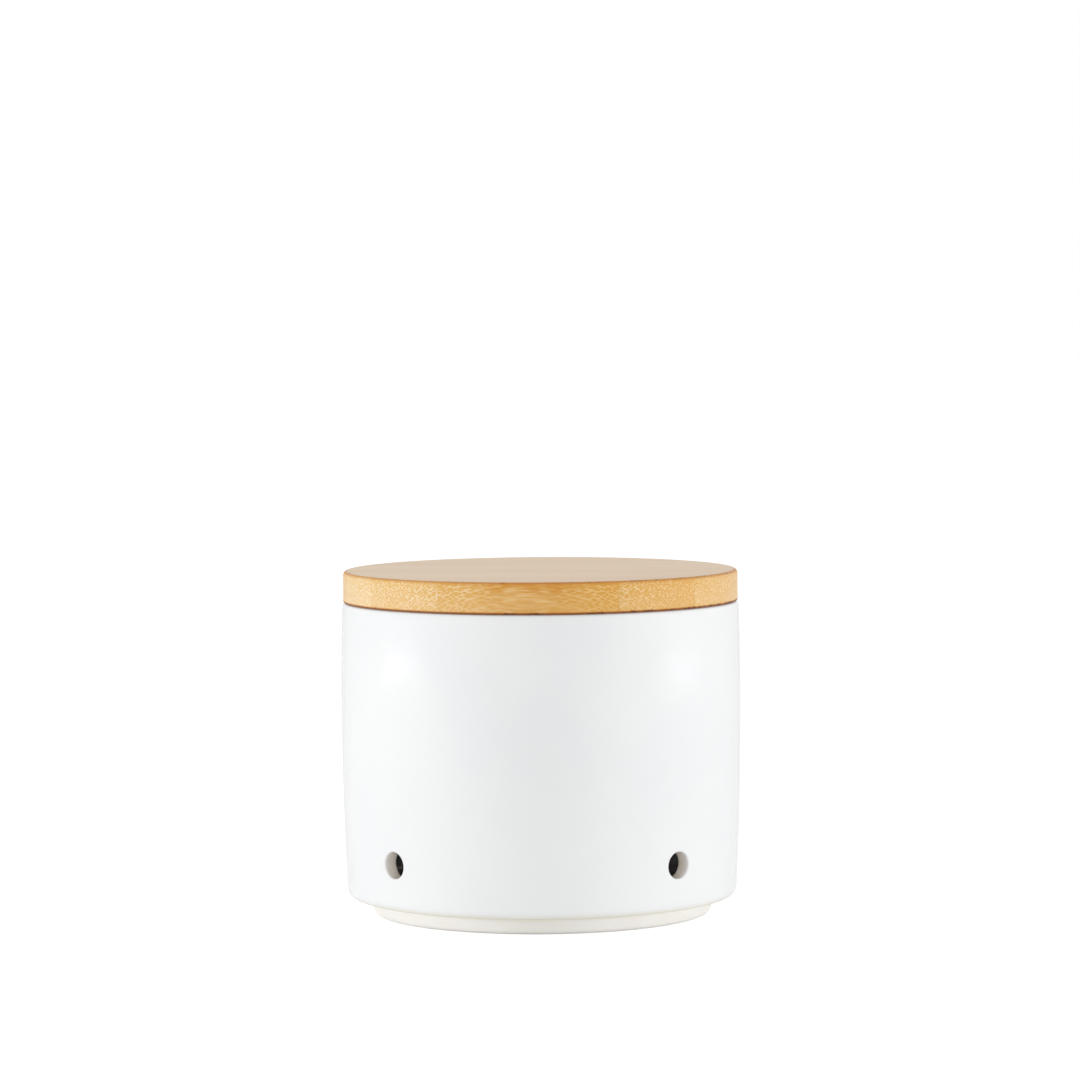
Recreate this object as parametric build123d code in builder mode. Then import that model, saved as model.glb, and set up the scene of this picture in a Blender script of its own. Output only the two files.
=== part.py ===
from build123d import *
import math
import os

os.makedirs("parts", exist_ok=True)

# A garlic keeper: a round glazed pot on a foot ring, with four vent holes low in its wall,
# closed by a laminated bamboo lid whose plug carries a silicone seal.
# Millimetres and degrees. The origin is the centre of the foot ring's underside, on the table,
# with +Z up and a vent hole on each of the X and Y axes.

# Pot wall
belly_radius = 60.0  # outside of the wall at its widest
belly_height = 66.0  # height of the widest place above the table
rim_height = 93.8  # the rim's flat land, on which the lid rests
rim_draw = 0.5  # how far the wall draws in from the belly to the rim
base_draw = 1.55  # how far the wall draws in from the belly to the underside
wall = 4.3
rim_outer_round = 1.3
rim_inner_round = 1.0

# Pot floor and foot ring
foot_height = 5.2  # underside of the body above the table
foot_step = 6.9  # how far the foot ring stands in from the wall
foot_taper = 1.0  # how far the foot's outer side leans in over its height
foot_width = 7.0  # width of the foot ring at its root
foot_recess = 4.0  # depth of the hollow inside the foot ring
foot_outer_round = 1.8
foot_inner_round = 1.0
floor_thickness = 4.5
body_corner_round = 2.6
inner_corner_round = 5.0

# Vent holes
vent_count = 4
vent_radius = 4.0
vent_land = 1.6  # straight wall between the inner corner's round and each hole
vent_edge_round = 0.55  # glaze rolled over the hole's outer edge
vent_inner_round = 0.3

# Lid board
lid_inset = 0.3  # the board is this much smaller in radius than the rim
lid_thickness = 9.3
lid_top_round = 1.2
lid_bottom_round = 0.45
lid_strip_count = 8  # bamboo strips of one width, glued edge to edge before the board is cut round
lid_trim = 11.6  # what the round cut takes off the board at each side
lid_grain_angle = 43.7  # the board's grain from the X axis, as the lid sits closed

# Plug under the board, cross-grained, and its seal groove
plug_depth = 8.4
plug_clearance = 1.2  # between the plug and the pot's mouth
plug_chamfer = 0.8
plug_strip_count = 7
plug_trim = 7.95
groove_depth = 2.2
groove_height = 5.2

# Silicone seal
seal_fit = 0.08  # between the seal and the groove's floor
seal_side_fit = 0.1  # between the seal and each side of the groove
seal_band = 1.5  # thickness of the seal's band
seal_reach_gap = 0.15  # between the lips, pressed in, and the pot's mouth
lip_count = 3
lip_root = 1.0  # height of a lip where it leaves the band
lip_tip = 0.5  # height of a lip at its edge
lip_rise = 0.35  # how far a lip leans up towards its edge

# Sizes that follow
rim_radius = belly_radius - rim_draw
base_radius = belly_radius - base_draw
mouth_radius = rim_radius - wall
inner_floor = foot_recess + floor_thickness
vent_height = inner_floor + inner_corner_round + vent_land + vent_radius
foot_root_radius = base_radius - foot_step
foot_base_radius = foot_root_radius - foot_taper
foot_inner_radius = foot_root_radius - foot_width
lid_radius = rim_radius - lid_inset
plug_radius = mouth_radius - plug_clearance
plug_bottom = rim_height - plug_depth
groove_radius = plug_radius - groove_depth
groove_bottom = plug_bottom + (plug_depth - groove_height) / 2
groove_top = groove_bottom + groove_height


def round_corner(section, place, radius):
    """Rounds the corner of a section that lies nearest to a place."""
    fillet(section.vertices().sort_by_distance(place)[0], radius)


def strip_edges(board_radius, trim, count):
    """The long edges of the strips in a round board, across the board from its middle."""
    strip_width = 2 * (board_radius + trim) / count
    joints = [strip_width * (joint - count / 2) for joint in range(1, count)]
    return [-board_radius, *joints, board_radius]


def save(piece, name):
    """Labels a finished piece and writes it to its own file."""
    piece.part.label = name
    export_step(piece.part, f"parts/{name}.step")


# Pot, one fired piece: wall, floor and foot ring are turned, then the vent holes are bored.
# The section stands midway between two holes, so that the turned wall's seam misses them.
section_plane = Plane.XZ.rotated((0, 0, 180 / vent_count))
with BuildPart() as pot:
    with BuildSketch(section_plane) as pot_section:
        with BuildLine():
            TangentArc((belly_radius, belly_height), (rim_radius, rim_height), tangent=(0, 1))
            Line((rim_radius, rim_height), (mouth_radius, rim_height))
            TangentArc((belly_radius - wall, belly_height), (mouth_radius, rim_height), tangent=(0, 1))
            TangentArc(
                (belly_radius - wall, belly_height), (base_radius - wall, inner_floor), tangent=(0, -1)
            )
            Polyline(
                (base_radius - wall, inner_floor),
                (0, inner_floor),
                (0, foot_recess),
                (foot_inner_radius, foot_recess),
                (foot_inner_radius, 0),
                (foot_base_radius, 0),
                (foot_root_radius, foot_height),
                (base_radius, foot_height),
            )
            TangentArc((belly_radius, belly_height), (base_radius, foot_height), tangent=(0, -1))
        make_face()
        round_corner(pot_section, (rim_radius, rim_height), rim_outer_round)
        round_corner(pot_section, (mouth_radius, rim_height), rim_inner_round)
        round_corner(pot_section, (base_radius - wall, inner_floor), inner_corner_round)
        round_corner(pot_section, (base_radius, foot_height), body_corner_round)
        round_corner(pot_section, (foot_base_radius, 0), foot_outer_round)
        round_corner(pot_section, (foot_inner_radius, 0), foot_inner_round)
        round_corner(pot_section, (foot_inner_radius, foot_recess), foot_inner_round)
    revolve(axis=Axis.Z)

    for vent in range(vent_count):
        bearing = math.radians(vent * 360 / vent_count)
        outward = Vector(math.cos(bearing), math.sin(bearing), 0)
        sideways = Vector(-math.sin(bearing), math.cos(bearing), 0)
        bore_plane = Plane(origin=(0, 0, vent_height), x_dir=sideways, z_dir=outward)
        with BuildSketch(bore_plane):
            Circle(vent_radius)
        extrude(amount=belly_radius + vent_edge_round, mode=Mode.SUBTRACT)
        rims = pot.edges(Select.LAST).filter_by(GeomType.LINE, reverse=True)
        rims = rims.sort_by(Axis((0, 0, vent_height), outward))
        fillet(rims[-1], vent_edge_round)
        fillet(rims[0], vent_inner_round)
save(pot, "pot")

# Lid board: flat bamboo strips side by side, with rounded edges turned on the finished disc
board_plane = Plane.XY.offset(rim_height).rotated((0, 0, lid_grain_angle))
board_edges = strip_edges(lid_radius, lid_trim, lid_strip_count)
for number, (near, far) in enumerate(zip(board_edges, board_edges[1:]), start=1):
    with BuildPart() as lid_strip:
        with BuildSketch(Plane.XZ) as board_section:
            with Locations((0, rim_height)):
                Rectangle(lid_radius, lid_thickness, align=(Align.MIN, Align.MIN))
            round_corner(board_section, (lid_radius, rim_height + lid_thickness), lid_top_round)
            round_corner(board_section, (lid_radius, rim_height), lid_bottom_round)
        revolve(axis=Axis.Z)
        with BuildSketch(board_plane):
            with Locations((0, (near + far) / 2)):
                Rectangle(2 * lid_radius, far - near)
        extrude(amount=lid_thickness, mode=Mode.INTERSECT)
    save(lid_strip, f"lid_strip_{number}")

# Plug ply: strips across the board's grain, glued under it, with the seal's groove round the edge
plug_plane = Plane.XY.offset(plug_bottom).rotated((0, 0, lid_grain_angle + 90))
plug_edges = strip_edges(plug_radius, plug_trim, plug_strip_count)
for number, (near, far) in enumerate(zip(plug_edges, plug_edges[1:]), start=1):
    with BuildPart() as plug_strip:
        with BuildSketch(Plane.XZ):
            with BuildLine():
                Polyline(
                    (0, plug_bottom),
                    (plug_radius - plug_chamfer, plug_bottom),
                    (plug_radius, plug_bottom + plug_chamfer),
                    (plug_radius, groove_bottom),
                    (groove_radius, groove_bottom),
                    (groove_radius, groove_top),
                    (plug_radius, groove_top),
                    (plug_radius, rim_height),
                    (0, rim_height),
                    close=True,
                )
            make_face()
        revolve(axis=Axis.Z)
        with BuildSketch(plug_plane):
            with Locations((0, (near + far) / 2)):
                Rectangle(2 * plug_radius, far - near)
        extrude(amount=plug_depth, mode=Mode.INTERSECT)
    save(plug_strip, f"plug_strip_{number}")

# Silicone seal: a band in the groove with lips that lean up towards the pot's mouth
band_inner = groove_radius + seal_fit
band_outer = band_inner + seal_band
band_bottom = groove_bottom + seal_side_fit
band_height = groove_height - 2 * seal_side_fit
lip_edge = mouth_radius - seal_reach_gap
lip_pitch = band_height / lip_count
with BuildPart() as seal_ring:
    with BuildSketch(Plane.XZ):
        with Locations((band_inner, band_bottom)):
            Rectangle(seal_band, band_height, align=(Align.MIN, Align.MIN))
        for lip in range(lip_count):
            root = band_bottom + lip * lip_pitch
            with BuildLine():
                Polyline(
                    (band_outer, root),
                    (lip_edge, root + lip_rise),
                    (lip_edge, root + lip_rise + lip_tip),
                    (band_outer, root + lip_root),
                    close=True,
                )
            make_face()
    revolve(axis=Axis.Z)
save(seal_ring, "seal_ring")
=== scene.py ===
import math

import bmesh
import bpy
from mathutils import Matrix, Vector


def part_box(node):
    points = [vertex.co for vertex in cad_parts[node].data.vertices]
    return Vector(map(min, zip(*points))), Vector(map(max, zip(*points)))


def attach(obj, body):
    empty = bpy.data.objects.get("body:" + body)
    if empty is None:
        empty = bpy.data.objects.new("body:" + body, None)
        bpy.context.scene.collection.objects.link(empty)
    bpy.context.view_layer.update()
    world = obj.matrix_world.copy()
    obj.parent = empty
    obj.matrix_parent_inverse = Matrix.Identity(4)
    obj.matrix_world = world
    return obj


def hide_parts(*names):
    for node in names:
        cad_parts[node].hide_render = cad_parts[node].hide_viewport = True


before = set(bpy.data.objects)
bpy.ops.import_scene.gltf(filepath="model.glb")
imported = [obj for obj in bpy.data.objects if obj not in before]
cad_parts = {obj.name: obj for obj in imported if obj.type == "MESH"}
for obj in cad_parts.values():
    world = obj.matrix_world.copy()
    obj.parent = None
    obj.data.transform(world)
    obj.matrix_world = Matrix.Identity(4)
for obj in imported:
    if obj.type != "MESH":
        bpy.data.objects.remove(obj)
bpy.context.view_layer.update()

# A garlic keeper: a white glazed pot on a bare foot ring, with vent holes low in its wall, and a
# lid of bamboo strips over a cross-grained plug with a silicone seal. Sizes are in metres.

MM = 0.001
UP = Vector((0, 0, 1))

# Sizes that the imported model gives
pot_low, pot_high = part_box("pot")
seal_low, seal_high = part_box("seal_ring")
lid_names = [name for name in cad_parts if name.startswith("lid_strip_")]
plug_names = [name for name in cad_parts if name.startswith("plug_strip_")]
lid_bottom, lid_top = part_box(lid_names[0])[0].z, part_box(lid_names[0])[1].z
plug_bottom, plug_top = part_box(plug_names[0])[0].z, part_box(plug_names[0])[1].z
belly_radius = (pot_high.x - pot_low.x) / 2
rim_height = pot_high.z
lip_edge = (seal_high.x - seal_low.x) / 2

# Sizes of the pot's section
belly_height = 66.0 * MM
rim_draw = 0.5 * MM
base_draw = 1.55 * MM
wall = 4.3 * MM
rim_outer_round = 1.3 * MM
rim_inner_round = 1.0 * MM
foot_height = 5.2 * MM
foot_step = 6.9 * MM
foot_taper = 1.0 * MM
foot_width = 7.0 * MM
foot_recess = 4.0 * MM
foot_outer_round = 1.8 * MM
foot_inner_round = 1.0 * MM
inner_floor = 8.5 * MM
body_corner_round = 2.6 * MM
inner_corner_round = 5.0 * MM
glaze_edge_round = 0.3 * MM  # where the glaze ends, at the foot's root

# Sizes of the vent holes
vent_count = 4
vent_radius = 4.0 * MM
vent_height = 19.1 * MM
vent_edge_round = 0.55 * MM
vent_inner_round = 0.3 * MM

# Sizes of the lid
grain_angle = math.radians(43.7)
lid_top_round = 1.2 * MM
lid_bottom_round = 0.45 * MM
plug_chamfer = 0.8 * MM
plug_edge_round = 0.15 * MM
groove_depth = 2.2 * MM
groove_edge_round = 0.1 * MM

# Sizes of the seal
seal_side_fit = 0.1 * MM
seal_fit = 0.08 * MM
seal_band = 1.5 * MM
band_edge_round = 0.15 * MM
band_top_round = 0.1 * MM
lip_count = 3
lip_root = 1.0 * MM
lip_tip = 0.5 * MM
lip_rise = 0.35 * MM
lip_under_round = 0.08 * MM
lip_tip_round = 0.15 * MM
lip_top_round = 0.2 * MM
lip_root_round = 0.15 * MM

# Sizes that follow
rim_radius = belly_radius - rim_draw
mouth_radius = rim_radius - wall
base_radius = belly_radius - base_draw
foot_root_radius = base_radius - foot_step
foot_base_radius = foot_root_radius - foot_taper
foot_inner_radius = foot_root_radius - foot_width
plug_angle = grain_angle + math.pi / 2

# Turned meshes: their steps round the axis, how near points lie that are merged or count as lying
# in a cut, and the angle from which an edge is sharp
turning_steps = 192
merge_distance = 0.002 * MM
cut_distance = 0.001 * MM
crease_angle = math.radians(38)

# The photograph's camera, whose lens and sensor are in millimetres
camera_bearing = math.radians(47.4)
camera_distance = 1.34802
camera_height = 0.19174
camera_pitch = math.radians(3.391)
camera_roll = math.radians(-0.383)
camera_lens = 150.0
camera_sensor = 36.0
nearest_seen = 0.05
farthest_seen = 20.0


def make_camera():
    """The camera at the photograph's place, looking a little down at the pot."""
    data = bpy.data.cameras.new("photo_camera")
    data.lens = camera_lens
    data.sensor_width = camera_sensor
    data.clip_start = nearest_seen
    data.clip_end = farthest_seen
    camera = bpy.data.objects.new("photo_camera", data)
    bpy.context.scene.collection.objects.link(camera)
    turn = Matrix.Rotation(camera_bearing, 4, "Z")
    place = Matrix.Translation((0, -camera_distance, camera_height))
    tilt = Matrix.Rotation(math.pi / 2 - camera_pitch, 4, "X")
    roll = Matrix.Rotation(camera_roll, 4, "Z")
    camera.matrix_world = turn @ place @ tilt @ roll
    bpy.context.scene.camera = camera


make_camera()


# Outlines and turning


def corner_arc(before, corner, after, radius, steps):
    """Points of a round of some radius that replaces the corner between two straight runs."""
    to_before, to_after = (before - corner).normalized(), (after - corner).normalized()
    half = to_before.angle(to_after) / 2
    centre = corner + (to_before + to_after).normalized() * (radius / math.sin(half))
    reach = radius / math.tan(half)
    start, end = corner + to_before * reach - centre, corner + to_after * reach - centre
    return [centre + start.slerp(end, step / steps) * radius for step in range(steps + 1)]


def outline(corners):
    """Points of a section. A corner is (radius, height) where it is sharp, and
    (radius, height, round, steps of the round) where it is rounded."""
    places = [Vector(corner[:2]) for corner in corners]
    points = []
    for i, corner in enumerate(corners):
        if len(corner) == 2:
            points.append(places[i])
        else:
            before, after = places[i - 1], places[(i + 1) % len(places)]
            points += corner_arc(before, places[i], after, *corner[2:])
    return points


def turned(points, closed=False):
    """A bmesh of a section turned about the Z axis."""
    mesh = bmesh.new()
    verts = [mesh.verts.new((p.x, 0, p.y)) for p in points]
    ends = verts[1:] + verts[:1] if closed else verts[1:]
    edges = [mesh.edges.new(pair) for pair in zip(verts, ends)]
    bmesh.ops.spin(
        mesh, geom=verts + edges, cent=(0, 0, 0), axis=UP, angle=2 * math.pi,
        steps=turning_steps, use_merge=True,
    )
    bmesh.ops.remove_doubles(mesh, verts=mesh.verts, dist=merge_distance)
    bmesh.ops.recalc_face_normals(mesh, faces=mesh.faces)
    return mesh


def finish_piece(mesh, name, materials, body, nodes):
    """Turns a bmesh into a smooth piece that rides on a body and stands for its CAD nodes."""
    for face in mesh.faces:
        face.smooth = True
    data = bpy.data.meshes.new(name)
    mesh.to_mesh(data)
    mesh.free()
    data.set_sharp_from_angle(angle=crease_angle)
    for material in materials:
        data.materials.append(material)
    piece = bpy.data.objects.new(name, data)
    bpy.context.scene.collection.objects.link(piece)
    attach(piece, body)
    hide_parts(*nodes)
    return piece


# Shader helpers


def new_material(name):
    """A new material, with its node tree and its Principled shader."""
    material = bpy.data.materials.new(name)
    material.use_nodes = True
    tree = material.node_tree
    return material, tree, tree.nodes["Principled BSDF"]


def node(tree, kind, inputs=(), **settings):
    """Adds a node, sets it up and plugs values or sockets into its inputs."""
    made = tree.nodes.new(kind)
    for key, value in settings.items():
        setattr(made, key, value)
    for key, value in dict(inputs).items():
        if isinstance(value, bpy.types.NodeSocket):
            tree.links.new(value, made.inputs[key])
        else:
            made.inputs[key].default_value = value
    return made


def maths(tree, operation, *values):
    """A Math node's result."""
    return node(tree, "ShaderNodeMath", enumerate(values), operation=operation).outputs[0]


def times(tree, first, second):
    """The product of two values."""
    return maths(tree, "MULTIPLY", first, second)


def away_from(tree, value, place):
    """How far a value is from a place, on either side."""
    return maths(tree, "ABSOLUTE", maths(tree, "SUBTRACT", value, place))


def vector_maths(tree, operation, *vectors):
    """A Vector Math node."""
    return node(tree, "ShaderNodeVectorMath", enumerate(vectors), operation=operation)


def spread(tree, value, span, result=(0.0, 1.0), smooth=True):
    """Maps a span of a value to a result that runs from one number to another, and no further."""
    kind = "SMOOTHSTEP" if smooth else "LINEAR"
    low, high = span
    to_low, to_high = result
    inputs = {"Value": value, "From Min": low, "From Max": high, "To Min": to_low, "To Max": to_high}
    return node(tree, "ShaderNodeMapRange", inputs, interpolation_type=kind).outputs["Result"]


def mixed(tree, share, first, second, blend="MIX"):
    """One colour laid over another by a share, or blended with it in another way."""
    inputs = {0: share, 6: first, 7: second}  # a Mix node's sockets when it mixes colours
    settings = {"data_type": "RGBA", "blend_type": blend, "clamp_factor": True}
    return node(tree, "ShaderNodeMix", inputs, **settings).outputs[2]


def colour(red, green, blue):
    """A colour given as it shows on screen, 0 to 255, in the linear values that shaders take."""
    def linear(value):
        share = value / 255
        return share / 12.92 if share <= 0.04045 else ((share + 0.055) / 1.055) ** 2.4
    return (linear(red), linear(green), linear(blue), 1.0)


def noise(tree, coordinates, scale, detail=2.0, roughness=0.5):
    """A noise texture's value."""
    inputs = {"Vector": coordinates, "Scale": scale, "Detail": detail, "Roughness": roughness}
    return node(tree, "ShaderNodeTexNoise", inputs, noise_dimensions="3D").outputs[0]


def mapped(tree, coordinates, shift=(0, 0, 0), turn=0.0, scale=(1, 1, 1)):
    """Coordinates scaled, turned about Z and shifted."""
    inputs = {"Vector": coordinates, "Location": shift, "Rotation": (0, 0, turn), "Scale": scale}
    return node(tree, "ShaderNodeMapping", inputs, vector_type="POINT").outputs[0]


def object_coordinates(tree, turn=0.0, scale=1.0):
    """Object coordinates, turned about Z and scaled."""
    place = node(tree, "ShaderNodeTexCoord").outputs["Object"]
    return mapped(tree, place, turn=turn, scale=(scale,) * 3)


def split(tree, place):
    """A place's three coordinates."""
    return node(tree, "ShaderNodeSeparateXYZ", {"Vector": place}).outputs


def combined(tree, first, second):
    """A flat place from two coordinates."""
    return node(tree, "ShaderNodeCombineXYZ", {0: first, 1: second}).outputs[0]


def distance_from_axis(tree, place):
    """How far a place is from the Z axis."""
    flat = vector_maths(tree, "MULTIPLY", place, (1, 1, 0)).outputs[0]
    return vector_maths(tree, "LENGTH", flat).outputs["Value"]


def add_bump(tree, shader, height, strength, distance):
    """Joins a height to the shader's normal. distance is how far the relief reaches."""
    inputs = {"Height": height, "Strength": strength, "Distance": distance}
    tree.links.new(node(tree, "ShaderNodeBump", inputs).outputs[0], shader.inputs["Normal"])


# Finishes of the pot and the seal

GLAZE = colour(246, 247, 247)
GLAZE_CLOUD = colour(244, 245, 246)
GLAZE_AT_FOOT = colour(248, 245, 232)
VENT_MOUTH_GLAZE_AND_LIGHT = colour(252, 252, 252)
THIN_GLAZE = colour(249, 243, 233)
THIN_GLAZE_CLOUD = colour(243, 234, 220)
CLAY = colour(254, 253, 249)
CLAY_PATCH = colour(252, 250, 246)
CLAY_GRAIN = colour(238, 231, 219)
CLAY_STAIN_AND_SHADE = colour(247, 240, 222)
SILICONE = colour(234, 234, 231)
SILICONE_CLOUD = colour(226, 226, 222)
WHITE = (1.0, 1.0, 1.0, 1.0)
GLAZE_IOR = 1.52


def glaze_material():
    """White glaze: glossy, with a faint cloudiness and the slight orange peel of fired glaze."""
    material, tree, shader = new_material("white_glaze")
    place = object_coordinates(tree)
    cloud = noise(tree, place, 28.0, detail=3.0)
    tint = mixed(tree, spread(tree, cloud, (0.35, 0.65)), GLAZE_CLOUD, GLAZE)
    height = split(tree, place)["Z"]
    at_foot = spread(tree, height, (foot_height + 0.3 * MM, foot_height + 1.8 * MM), (0.8, 0.0))
    tree.links.new(mixed(tree, at_foot, tint, GLAZE_AT_FOOT), shader.inputs["Base Color"])
    shader.inputs["Roughness"].default_value = 0.12
    shader.inputs["IOR"].default_value = GLAZE_IOR
    peel = noise(tree, place, 260.0)
    sway = noise(tree, place, 45.0, detail=1.0)
    relief = maths(tree, "MULTIPLY_ADD", sway, 3.0, peel)
    add_bump(tree, shader, relief, strength=0.12, distance=0.05 * MM)
    return material


def bore_material():
    """The drilled bores, where the glaze runs thin over the warm clay, and full again at their mouths.
    Their paler mouths are partly that fuller glaze and partly painted light, with painted shade deeper in
    the bore.
    """
    material, tree, shader = new_material("thin_glaze")
    place = object_coordinates(tree)
    cloud = noise(tree, place, 420.0, detail=3.0)
    tint = mixed(tree, spread(tree, cloud, (0.3, 0.7)), THIN_GLAZE_CLOUD, THIN_GLAZE)
    outside = outer_radius(vent_height)
    mouth = (outside - 2.2 * MM, outside - 0.5 * MM)
    # Partly fuller glaze and partly painted light: the bore is paler at its mouth and painted darker
    # deeper in
    fuller_glaze_and_light = spread(tree, distance_from_axis(tree, place), mouth, (0.0, 0.8))
    tree.links.new(mixed(tree, fuller_glaze_and_light, tint, VENT_MOUTH_GLAZE_AND_LIGHT), shader.inputs["Base Color"])
    shader.inputs["Roughness"].default_value = 0.3
    shader.inputs["IOR"].default_value = GLAZE_IOR
    add_bump(tree, shader, noise(tree, place, 900.0), strength=0.2, distance=0.04 * MM)
    return material


def clay_material():
    """Bare fired clay of the foot ring: warm, matt and finely grained, and warmer and darker at its top by
    the glaze, partly a glaze stain and partly painted shade of the junction under the body.
    """
    material, tree, shader = new_material("bare_clay")
    place = object_coordinates(tree)
    grain = noise(tree, place, 2600.0, detail=3.0)
    patch = noise(tree, place, 120.0, detail=3.0)
    body = mixed(tree, spread(tree, patch, (0.35, 0.65)), CLAY_PATCH, CLAY)
    body = mixed(tree, spread(tree, grain, (0.62, 0.80)), body, CLAY_GRAIN)
    height = maths(tree, "DIVIDE", split(tree, place)["Z"], MM)
    root = foot_height / MM
    # Partly glaze stain and partly painted shade: a warmer, darker band along the foot's top, where it
    # meets the glazed body
    stain_and_shade = spread(tree, height, (root - 1.3, root - 0.6))
    tree.links.new(mixed(tree, stain_and_shade, body, CLAY_STAIN_AND_SHADE), shader.inputs["Base Color"])
    shader.inputs["Roughness"].default_value = 0.75
    add_bump(tree, shader, grain, strength=0.35, distance=0.05 * MM)
    return material


def silicone_material():
    """Milky silicone rubber."""
    material, tree, shader = new_material("milky_silicone")
    place = object_coordinates(tree)
    cloud = noise(tree, place, 300.0)
    tint = mixed(tree, spread(tree, cloud, (0.3, 0.7)), SILICONE_CLOUD, SILICONE)
    tree.links.new(tint, shader.inputs["Base Color"])
    shader.inputs["Roughness"].default_value = 0.42
    shader.inputs["IOR"].default_value = 1.41
    shader.inputs["Subsurface Weight"].default_value = 0.25
    shader.inputs["Subsurface Radius"].default_value = (1.0, 1.0, 1.0)
    shader.inputs["Subsurface Scale"].default_value = 0.8 * MM
    add_bump(tree, shader, noise(tree, place, 1500.0), strength=0.1, distance=0.02 * MM)
    return material


# Bamboo, whose patterns are all in millimetres. Its bundles run along the grain, so a cut across it
# shows dots and a cut along it long streaks.

CREAM = colour(250, 231, 202)
FLESH = colour(247, 220, 180)
FLESH_SHADE = colour(240, 208, 159)
SKIN_SIDE = colour(225, 163, 52)
BUNDLE = colour(233, 190, 104)
BURNISHED = colour(190, 108, 16)
DARK_BROWN = colour(92, 50, 26)
WARM_TONE = (0.87, 0.67, 0.33, 1.0)
TOP_SHADE_TINT = (1.0, 1.02, 0.87, 1.0)

# How finely the bundles stand across and up through the strip, how their rows are turned, how
# unevenly they are spaced, and how far and how quickly they wander on their way along it
bundle_scale = (1.64, 1.36, 1.0)
bundle_turn = 0.8
bundle_unevenness = 0.56
bundle_wander = 3.0
wander_scale = 0.015

# How finely the other patterns repeat along, across and up through the strip
thread_scale = (0.03, 5.0, 5.0)
cloud_scale = (0.03, 0.25, 0.45)
fleck_scale = (0.17, 1.5, 1.5)

# Half the length of strip over which its warmth changes
warmth_reach = 50.0


def bundle_pattern(tree, along, across, depth, lengthwise, seed):
    """How far a place lies inside a bundle. The bundles wander a little on their way along the strip,
    and crowd together and stand out more towards the skin. seed moves the pattern, so that no two
    strips are alike."""
    path = combined(tree, times(tree, along, wander_scale), seed * 7.3)
    sway = noise(tree, path, 1.0)
    wander = maths(tree, "MULTIPLY_ADD", sway, bundle_wander, -bundle_wander / 2)
    closing_up = times(tree, depth, maths(tree, "MULTIPLY_ADD", depth, -0.022, 1.2))
    section = combined(tree, maths(tree, "ADD", across, wander), closing_up)
    section = mapped(tree, section, shift=(seed * 31.7, seed * 17.1, 0))
    ripple = noise(tree, section, 0.9, detail=1.0)
    section = vector_maths(tree, "ADD", section, ripple).outputs[0]
    section = mapped(tree, section, turn=bundle_turn, scale=bundle_scale)
    inputs = {"Vector": section, "Scale": 1.0, "Randomness": bundle_unevenness}
    cells = node(tree, "ShaderNodeTexVoronoi", inputs, voronoi_dimensions="2D", feature="F1")
    bundle = spread(tree, cells.outputs["Distance"], (0.14, 0.68), (0.5, -0.5), smooth=False)
    contrast = spread(tree, depth, (2.6, 7.5), (1.0, 0.55))
    contrast = times(tree, contrast, spread(tree, lengthwise, (0.0, 1.0), (1.0, 0.6), smooth=False))
    crowding = spread(tree, depth, (0.5, 4.0), (0.62, 0.5))
    return maths(tree, "MULTIPLY_ADD", bundle, contrast, crowding)


def bamboo_body(tree, place, depth, thread, bundle):
    """The colour of the bundles and of the flesh between them, and of the skin's side of the strip."""
    cloud = noise(tree, mapped(tree, place, scale=cloud_scale), 1.0)
    flesh = mixed(tree, spread(tree, thread, (0.3, 0.7), (0.0, 0.8)), FLESH, FLESH_SHADE)
    flesh = mixed(tree, spread(tree, cloud, (0.4, 0.7), (0.0, 0.35)), flesh, BUNDLE)
    body = mixed(tree, spread(tree, bundle, (0.06, 0.38)), CREAM, flesh)
    body = mixed(tree, spread(tree, bundle, (0.42, 0.86)), body, BUNDLE)
    return mixed(tree, spread(tree, depth, (0.2, 1.3), (0.5, 0.0)), body, SKIN_SIDE)


def flecked(tree, body, place, depth, lengthwise):
    """Where the side runs along the grain the bundles show as flecks, golden near the skin and pale
    below it."""
    fleck = noise(tree, mapped(tree, place, scale=fleck_scale), 1.0, detail=1.0)
    golden = times(tree, lengthwise, spread(tree, fleck, (0.38, 0.6), (0.15, 1.0)))
    golden = times(tree, golden, spread(tree, depth, (1.6, 4.2), (0.8, 0.22)))
    body = mixed(tree, golden, body, SKIN_SIDE)
    pale = times(tree, lengthwise, spread(tree, fleck, (0.34, 0.5), (0.45, 0.0)))
    return mixed(tree, times(tree, pale, spread(tree, depth, (1.4, 2.6))), body, CREAM)


def toned(tree, body, along, depth, warmth):
    """The strip's own warmth, which changes from end to end, and a painted shade tint on its top face, set
    for how light falls there.
    """
    warm = spread(tree, along, (-warmth_reach, warmth_reach), warmth, smooth=False)
    body = mixed(tree, 1.0, body, mixed(tree, warm, WHITE, WARM_TONE), blend="MULTIPLY")
    # Painted shade: the top face is tinted less blue, to match how light and sheen fall on it
    top_shade = spread(tree, depth, (0.01, 0.06), (1.0, 0.0))
    return mixed(tree, top_shade, body, TOP_SHADE_TINT, blend="MULTIPLY")


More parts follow.
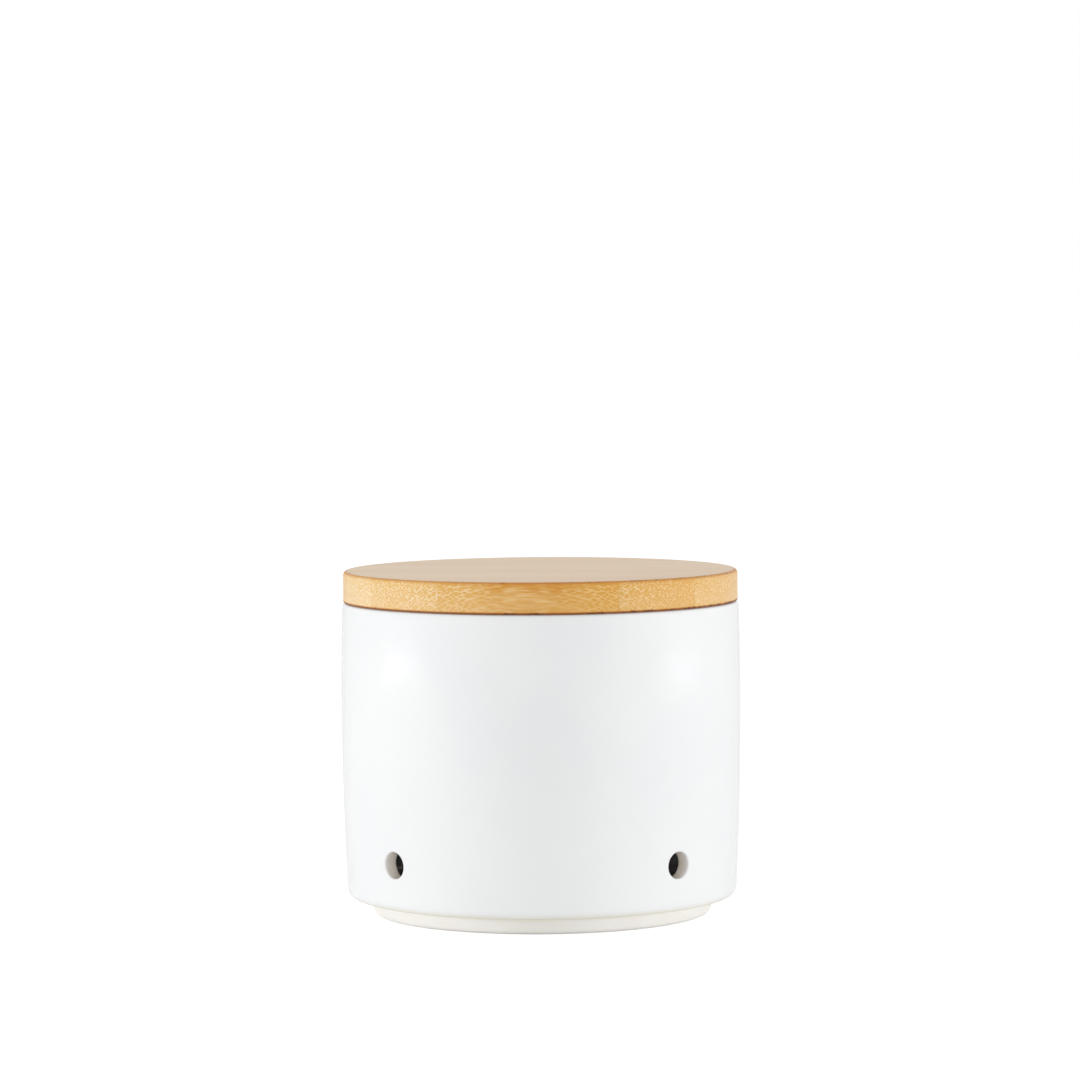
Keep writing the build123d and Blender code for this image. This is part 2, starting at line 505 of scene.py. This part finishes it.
def burnished(tree, body, place, along, height, edge):
    """Turning has burnished the board's two corners, and scorched them in spots, more of them towards
    one end. Gives the colour and how far a place lies in a corner."""
    radius, low, high = edge
    at_side = spread(tree, distance_from_axis(tree, place), (radius - 1.5, radius - 0.9))
    to_low = away_from(tree, height, low)
    to_high = away_from(tree, height, high)
    low_corner = times(tree, spread(tree, to_low, (0.4, 0.9), (1.0, 0.0)), at_side)
    high_corner = times(tree, spread(tree, to_high, (0.15, 0.7), (1.0, 0.0)), at_side)
    corner = maths(tree, "MAXIMUM", low_corner, high_corner)
    burnish = maths(tree, "MULTIPLY_ADD", high_corner, -0.4, times(tree, corner, 0.85))
    body = mixed(tree, burnish, body, BURNISHED)
    # A dark band runs all round the board's underside corner
    underside = spread(tree, to_low, (0.3, 0.6), (0.6, 0.0))
    body = mixed(tree, times(tree, underside, at_side), body, DARK_BROWN)
    spots = noise(tree, place, 0.55, detail=3.0, roughness=0.65)
    spots = spread(tree, maths(tree, "MULTIPLY_ADD", along, 0.0015, spots), (0.54, 0.64))
    scorch = maths(tree, "MULTIPLY_ADD", high_corner, -0.35, times(tree, corner, 0.7))
    return mixed(tree, times(tree, scorch, spots), body, DARK_BROWN), corner


def bamboo_material(name, angle, skin, joints, edge, seed, warmth):
    """One bamboo strip. skin is the height of the culm's outer side, where the bundles crowd; joints
    are the glued sides, across the board; edge is the board's radius and the heights of its two turned
    corners; seed picks its pattern; warmth is how golden the strip is at its two ends."""
    material, tree, shader = new_material(name)
    place = object_coordinates(tree, turn=-angle, scale=1 / MM)
    along, across, height = split(tree, place)
    depth = maths(tree, "SUBTRACT", skin / MM, height)
    edge = [value / MM for value in edge]
    lengthwise = spread(tree, maths(tree, "ABSOLUTE", across), (edge[0] - 2.6, edge[0] - 0.3))
    thread = noise(tree, mapped(tree, place, scale=thread_scale), 1.0, detail=3.0, roughness=0.6)
    bundle = bundle_pattern(tree, along, across, depth, lengthwise, seed)

    body = bamboo_body(tree, place, depth, thread, bundle)
    body = flecked(tree, body, place, depth, lengthwise)
    for joint in joints:
        glue_line = spread(tree, away_from(tree, across, joint / MM), (0.02, 0.07), (0.15, 0.0))
        body = mixed(tree, glue_line, body, BURNISHED)
    body = toned(tree, body, along, depth, warmth)
    body, corner = burnished(tree, body, place, along, height, edge)
    tree.links.new(body, shader.inputs["Base Color"])

    rough = maths(tree, "MULTIPLY_ADD", corner, 0.35, spread(tree, bundle, (0.0, 1.0), (0.44, 0.36)))
    tree.links.new(rough, shader.inputs["Roughness"])
    shader.inputs["IOR"].default_value = 1.48
    tree.links.new(spread(tree, depth, (0.0, 0.3), (0.6, 0.1)), shader.inputs["Coat Weight"])
    shader.inputs["Coat Roughness"].default_value = 0.22
    relief = maths(tree, "MULTIPLY_ADD", thread, 0.6, times(tree, bundle, -0.4))
    add_bump(tree, shader, relief, strength=0.2, distance=0.05 * MM)
    return material


# Pot


def wall_radius(height, belly, foot):
    """Radius of one face of the wall at a height: two arcs that meet upright at the belly."""
    above = height > belly_height
    draw = rim_draw if above else base_draw
    reach = rim_height - belly_height if above else belly_height - foot
    sweep = (reach * reach + draw * draw) / (2 * draw)
    return belly - sweep + math.sqrt(sweep * sweep - (height - belly_height) ** 2)


def outer_radius(height):
    """Radius of the wall's outer face at a height."""
    return wall_radius(height, belly_radius, foot_height)


def inner_radius(height):
    """Radius of the wall's inner face at a height."""
    return wall_radius(height, belly_radius - wall, inner_floor)


# The wall's rows are evenly spaced round the vent holes, where a window of rows and columns, so many
# on each side of a hole's centre, is opened for the bore
vent_window = 3
row_pitch = (vent_height - inner_floor - inner_corner_round) / vent_window
outer_rows_below_vent = 6
rows_above_vent = 6
upper_rows = 14

# Rows in the pot's flat faces, at these radii, and how far from a round lies the row that keeps a
# flat face flat, by the foot ring and beside the foot's root
underside_rows = (12 * MM, 30 * MM)
floor_rows = (40 * MM, 18 * MM)
foot_support = 0.4 * MM
root_support = 1.0 * MM


def wall_heights(rows_below_vent, top):
    """Heights of the rows of one face of the wall, from the lowest to the one before its top."""
    low = [vent_height + row_pitch * row for row in range(-rows_below_vent, rows_above_vent + 1)]
    step = (top - low[-1]) / upper_rows
    return low + [low[-1] + step * row for row in range(1, upper_rows)]


def pot_outline():
    """The pot's section from the middle of its underside round to the middle of its inner floor."""
    outer_heights = wall_heights(outer_rows_below_vent, rim_height - rim_outer_round)
    inner_heights = wall_heights(vent_window, rim_height - rim_inner_round)[1:]
    return outline([
        (0, foot_recess),
        *[(radius, foot_recess) for radius in underside_rows],
        (foot_inner_radius - foot_inner_round - foot_support, foot_recess),
        (foot_inner_radius, foot_recess, foot_inner_round, 4),
        (foot_inner_radius, 0, foot_inner_round, 4),
        (foot_base_radius - foot_outer_round - foot_support, 0),
        (foot_base_radius, 0, foot_outer_round, 5),
        (foot_root_radius, foot_height, glaze_edge_round, 2),
        (foot_root_radius + root_support, foot_height),
        (base_radius, foot_height, body_corner_round, 6),
        *[(outer_radius(height), height) for height in outer_heights],
        (rim_radius, rim_height, rim_outer_round, 5),
        (mouth_radius, rim_height, rim_inner_round, 5),
        *[(inner_radius(height), height) for height in reversed(inner_heights)],
        (inner_radius(inner_floor), inner_floor, inner_corner_round, 8),
        *[(radius, inner_floor) for radius in floor_rows],
        (0, inner_floor),
    ])


def radius_of(place):
    """How far a place is from the pot's axis."""
    return math.hypot(place.x, place.y)


def on_wall(outward, sideways, radius_at, reach, angle, depth):
    """A place on a ring round a vent hole, on one face of the wall or sunk into it by a depth."""
    side = reach * math.cos(angle)
    height = vent_height + reach * math.sin(angle)
    out = math.sqrt(radius_at(height) ** 2 - side * side) - depth
    return outward * out + sideways * side + UP * height


def vent_rings(edge_round):
    """(reach from the hole's centre, depth in the wall) of the rings that lead from one face of the
    wall round a hole's edge to its bore."""
    lip = vent_radius + edge_round
    outer_ring = lip * 1.06
    round_steps = 4
    rings = [(outer_ring, 0.0), (lip, 0.0)]
    for step in range(1, round_steps + 1):
        bend = step / round_steps * math.pi / 2
        reach = vent_radius + edge_round * (1 - math.sin(bend))
        rings.append((reach, edge_round * (1 - math.cos(bend))))
    return rings


def open_vent_face(mesh, outward, sideways, radius_at, faces, edge_round, inwards):
    """Cuts a vent's opening in one face of the wall, rounds its edge, and gives the loop at the bore.
    inwards is 1 on the outer face, which is sunk towards the axis, and -1 on the inner face."""
    bmesh.ops.delete(mesh, geom=faces, context="FACES")
    ring = [
        e for e in mesh.edges
        if e.is_boundary and abs(radius_of(e.verts[0].co) - radius_at(e.verts[0].co.z)) < wall / 3
    ]
    snap = 2 * math.pi / len(ring)
    for reach, depth in vent_rings(edge_round):
        extruded = bmesh.ops.extrude_edge_only(mesh, edges=ring)["geom"]
        ring = [g for g in extruded if isinstance(g, bmesh.types.BMEdge)]
        for vert in {v for e in ring for v in e.verts}:
            angle = math.atan2(vert.co.z - vent_height, vert.co.dot(sideways))
            angle = round(angle / snap) * snap
            vert.co = on_wall(outward, sideways, radius_at, reach, angle, depth * inwards)
    return ring


def cut_vent(mesh, bearing):
    """Bores one vent hole through both faces of the wall."""
    outward = Vector((math.cos(bearing), math.sin(bearing), 0))
    sideways = Vector((-math.sin(bearing), math.cos(bearing), 0))
    half_turn = vent_window * 2 * math.pi / turning_steps
    middle = outer_radius(vent_height) - wall / 2
    outer, inner = [], []
    for face in mesh.faces:
        centre = face.calc_center_median()
        turn = math.atan2(centre.dot(sideways), centre.dot(outward))
        if abs(turn) < half_turn and abs(centre.z - vent_height) < vent_window * row_pitch:
            (outer if radius_of(centre) > middle else inner).append(face)
    outer_loop = open_vent_face(mesh, outward, sideways, outer_radius, outer, vent_edge_round, 1)
    inner_loop = open_vent_face(mesh, outward, sideways, inner_radius, inner, vent_inner_round, -1)
    bmesh.ops.bridge_loops(mesh, edges=outer_loop + inner_loop)


def make_pot():
    """The pot: turned, bored, and glazed all over but for its foot ring."""
    mesh = turned(pot_outline())
    for vent in range(vent_count):
        cut_vent(mesh, 2 * math.pi * vent / vent_count)
    bmesh.ops.recalc_face_normals(mesh, faces=mesh.faces)

    finishes = [glaze_material(), clay_material(), bore_material()]
    clay, bore = 1, 2  # their places among the finishes
    foot_margin = 0.05 * MM
    glaze_line = foot_height - 0.02 * MM
    bore_reach = vent_radius + 0.1 * MM
    for face in mesh.faces:
        centre = face.calc_center_median()
        on_foot = foot_inner_radius - foot_margin < radius_of(centre) < foot_root_radius + foot_margin
        from_vent = math.hypot(min(abs(centre.x), abs(centre.y)), centre.z - vent_height)
        if on_foot and centre.z < glaze_line:
            face.material_index = clay
        elif from_vent < bore_reach:
            face.material_index = bore
    pot = finish_piece(mesh, "glazed_pot", finishes, "pot", ["pot"])
    smooth = pot.modifiers.new("smooth", "SUBSURF")
    smooth.levels = smooth.render_levels = 1


make_pot()


# Lid

# A strip's long edge that lies nearer than this to the board's radius is no joint, but the board's edge
joint_margin = 0.2 * MM

# The plug's strips lie skin side up, with the skin itself planed off under the board
plug_skin = plug_bottom + 9 * MM

# How golden each strip is, at its two ends
strip_warmth = (
    (0.36, 1.3), (0.22, 0.82), (0.0, 0.52), (0.35, 0.5),
    (0.15, 0.35), (0.5, 0.3), (0.2, 0.55), (0.6, 0.4),
)


def across_of(angle):
    """The direction across a board's strips."""
    return Vector((-math.sin(angle), math.cos(angle), 0))


def strip_span(name, angle):
    """A strip's two long edges, across the board from its middle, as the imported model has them."""
    places = [v.co.dot(across_of(angle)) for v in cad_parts[name].data.vertices]
    return min(places), max(places)


def board_radius(names, angle):
    """The radius of a round board, from its strips."""
    return max(abs(place) for name in names for place in strip_span(name, angle))


def is_joint(place, radius):
    """Whether a strip's long edge is glued to its neighbour."""
    return abs(place) < radius - joint_margin


def make_strip(points, name, cad_node, angle, material):
    """One strip: the whole board is turned, and what lies beyond the strip's joints is cut off."""
    radius = max(point.x for point in points)
    mesh = turned(points)
    for side, place in zip((-1, 1), strip_span(cad_node, angle)):
        if is_joint(place, radius):
            cut = bmesh.ops.bisect_plane(
                mesh, geom=mesh.verts[:] + mesh.edges[:] + mesh.faces[:], dist=cut_distance,
                plane_co=across_of(angle) * place, plane_no=across_of(angle) * side, clear_outer=True,
            )["geom_cut"]
            bmesh.ops.edgeloop_fill(mesh, edges=[g for g in cut if isinstance(g, bmesh.types.BMEdge)])
    bmesh.ops.recalc_face_normals(mesh, faces=mesh.faces)
    finish_piece(mesh, name, [material], "lid", [cad_node])


def make_board(title, names, angle, points, low, high, skin, seed):
    """A round board of strips side by side. low and high are the heights of its turned corners."""
    radius = max(point.x for point in points)
    for number, (cad_node, warmth) in enumerate(zip(names, strip_warmth), start=1):
        name = f"bamboo_{title}_{number}"
        joints = [place for place in strip_span(cad_node, angle) if is_joint(place, radius)]
        edge = (radius, low, high)
        bamboo = bamboo_material(name, angle, skin, joints, edge, seed + number, warmth)
        make_strip(points, name, cad_node, angle, bamboo)


def board_outline():
    """The board's section, from the middle of its underside to the middle of its top."""
    radius = board_radius(lid_names, grain_angle)
    flat_support = 0.3 * MM
    return outline([
        (0, lid_bottom),
        (radius - lid_bottom_round - flat_support, lid_bottom),
        (radius, lid_bottom, lid_bottom_round, 4),
        (radius, (lid_bottom + lid_top) / 2),
        (radius, lid_top, lid_top_round, 8),
        (radius - lid_top_round - flat_support, lid_top),
        (0, lid_top),
    ])


def plug_outline():
    """The plug's section, with the seal's groove in its edge."""
    radius = board_radius(plug_names, plug_angle)
    groove_radius = radius - groove_depth
    groove_low, groove_high = seal_low.z - seal_side_fit, seal_high.z + seal_side_fit
    return outline([
        (0, plug_bottom),
        (radius - plug_chamfer, plug_bottom, plug_edge_round, 2),
        (radius, plug_bottom + plug_chamfer, plug_edge_round, 2),
        (radius, groove_low, groove_edge_round, 2),
        (groove_radius, groove_low),
        (groove_radius, groove_high),
        (radius, groove_high, groove_edge_round, 2),
        (radius, plug_top),
        (0, plug_top),
    ])


make_board("board_strip", lid_names, grain_angle, board_outline(), lid_bottom, lid_top, lid_top, seed=11)
make_board("plug_strip", plug_names, plug_angle, plug_outline(), plug_bottom, plug_top, plug_skin, seed=10)


# Seal


def seal_outline():
    """The seal's closed section: a band that the groove's floor carries, with lips that lean up."""
    band_inner = board_radius(plug_names, plug_angle) - groove_depth + seal_fit
    band_outer = band_inner + seal_band
    pitch = (seal_high.z - seal_low.z) / lip_count
    corners = [(band_inner, seal_low.z, band_edge_round, 2)]
    for lip in range(lip_count):
        root = seal_low.z + lip * pitch
        corners += [
            (band_outer, root, lip_under_round, 2) if lip else (band_outer, root),
            (lip_edge, root + lip_rise, lip_tip_round, 3),
            (lip_edge, root + lip_rise + lip_tip, lip_top_round, 3),
            (band_outer, root + lip_root, lip_root_round, 3),
        ]
    corners += [
        (band_outer, seal_high.z, band_top_round, 2),
        (band_inner, seal_high.z, band_edge_round, 2),
    ]
    return outline(corners)


def make_seal():
    """The silicone seal in the plug's groove."""
    mesh = turned(seal_outline(), closed=True)
    finish_piece(mesh, "silicone_seal", [silicone_material()], "seal", ["seal_ring"])


make_seal()


# Studio

# The room's light on matt surfaces and in reflections, and the table's tone and its glow for each
room_light = 0.63
room_in_reflections = 0.87
table_size = 6.0
table_tone = (0.93, 0.93, 0.93, 1.0)
table_glow = 0.5
table_glow_in_reflections = 0.18

# How tall each lamp is, and the point that the lamps face
lamp_size = 0.3
lamp_aim = Vector((0, 0, 0.05))


def kinds_of_ray(tree):
    """Whether a ray is seen by the eye, also through glass, and whether it is a reflection."""
    path = node(tree, "ShaderNodeLightPath").outputs
    seen = maths(tree, "MAXIMUM", path["Is Camera Ray"], path["Is Transmission Ray"])
    return seen, path["Is Glossy Ray"]


def make_floor():
    """A plain pale table that shows white to the eye and keeps the pot's soft shadow."""
    mesh = bmesh.new()
    bmesh.ops.create_grid(mesh, x_segments=1, y_segments=1, size=table_size)
    data = bpy.data.meshes.new("studio_floor")
    mesh.to_mesh(data)
    mesh.free()
    floor = bpy.data.objects.new("studio_floor", data)
    bpy.context.scene.collection.objects.link(floor)
    material, tree, shader = new_material("floor_white")
    shader.inputs["Base Color"].default_value = table_tone
    shader.inputs["Roughness"].default_value = 0.9
    seen, reflected = kinds_of_ray(tree)
    glow = times(tree, seen, table_glow)
    glow = maths(tree, "MULTIPLY_ADD", reflected, table_glow_in_reflections, glow)
    tree.links.new(glow, shader.inputs["Emission Strength"])
    shader.inputs["Emission Color"].default_value = WHITE
    data.materials.append(material)


def make_world():
    """A white room: full white to the eye, near it in reflections, and a plain level of light."""
    world = bpy.data.worlds.new("studio_world")
    bpy.context.scene.world = world
    world.use_nodes = True
    tree = world.node_tree
    back = tree.nodes["Background"]
    back.inputs["Color"].default_value = WHITE
    seen, reflected = kinds_of_ray(tree)
    strength = spread(tree, seen, (0.0, 1.0), (room_light, 1.0), smooth=False)
    more = (0.0, room_in_reflections - room_light)
    more = spread(tree, reflected, (0.0, 1.0), more, smooth=False)
    tree.links.new(maths(tree, "ADD", strength, more), back.inputs["Strength"])


def make_softbox(name, bearing, height, distance, width, power):
    """A soft lamp that faces the pot from a bearing round it, and leaves no glint in the glaze."""
    data = bpy.data.lights.new(name, "AREA")
    data.shape = "RECTANGLE"
    data.size, data.size_y = width, lamp_size
    data.energy = power
    lamp = bpy.data.objects.new(name, data)
    bpy.context.scene.collection.objects.link(lamp)
    lamp.visible_glossy = False
    angle = camera_bearing + math.radians(bearing)
    place = Vector((math.sin(angle) * distance, -math.cos(angle) * distance, height))
    aim = lamp_aim - place
    lamp.matrix_world = Matrix.Translation(place) @ aim.to_track_quat("-Z", "Y").to_matrix().to_4x4()


make_floor()
make_world()
make_softbox("left_lamp", bearing=-85, height=0.08, distance=1.3, width=0.6, power=7.7)
make_softbox("right_lamp", bearing=85, height=0.08, distance=1.3, width=0.6, power=6.9)
make_softbox("front_lamp", bearing=0, height=0.15, distance=1.8, width=1.4, power=4.9)
bpy.context.scene.view_settings.view_transform = "Standard"
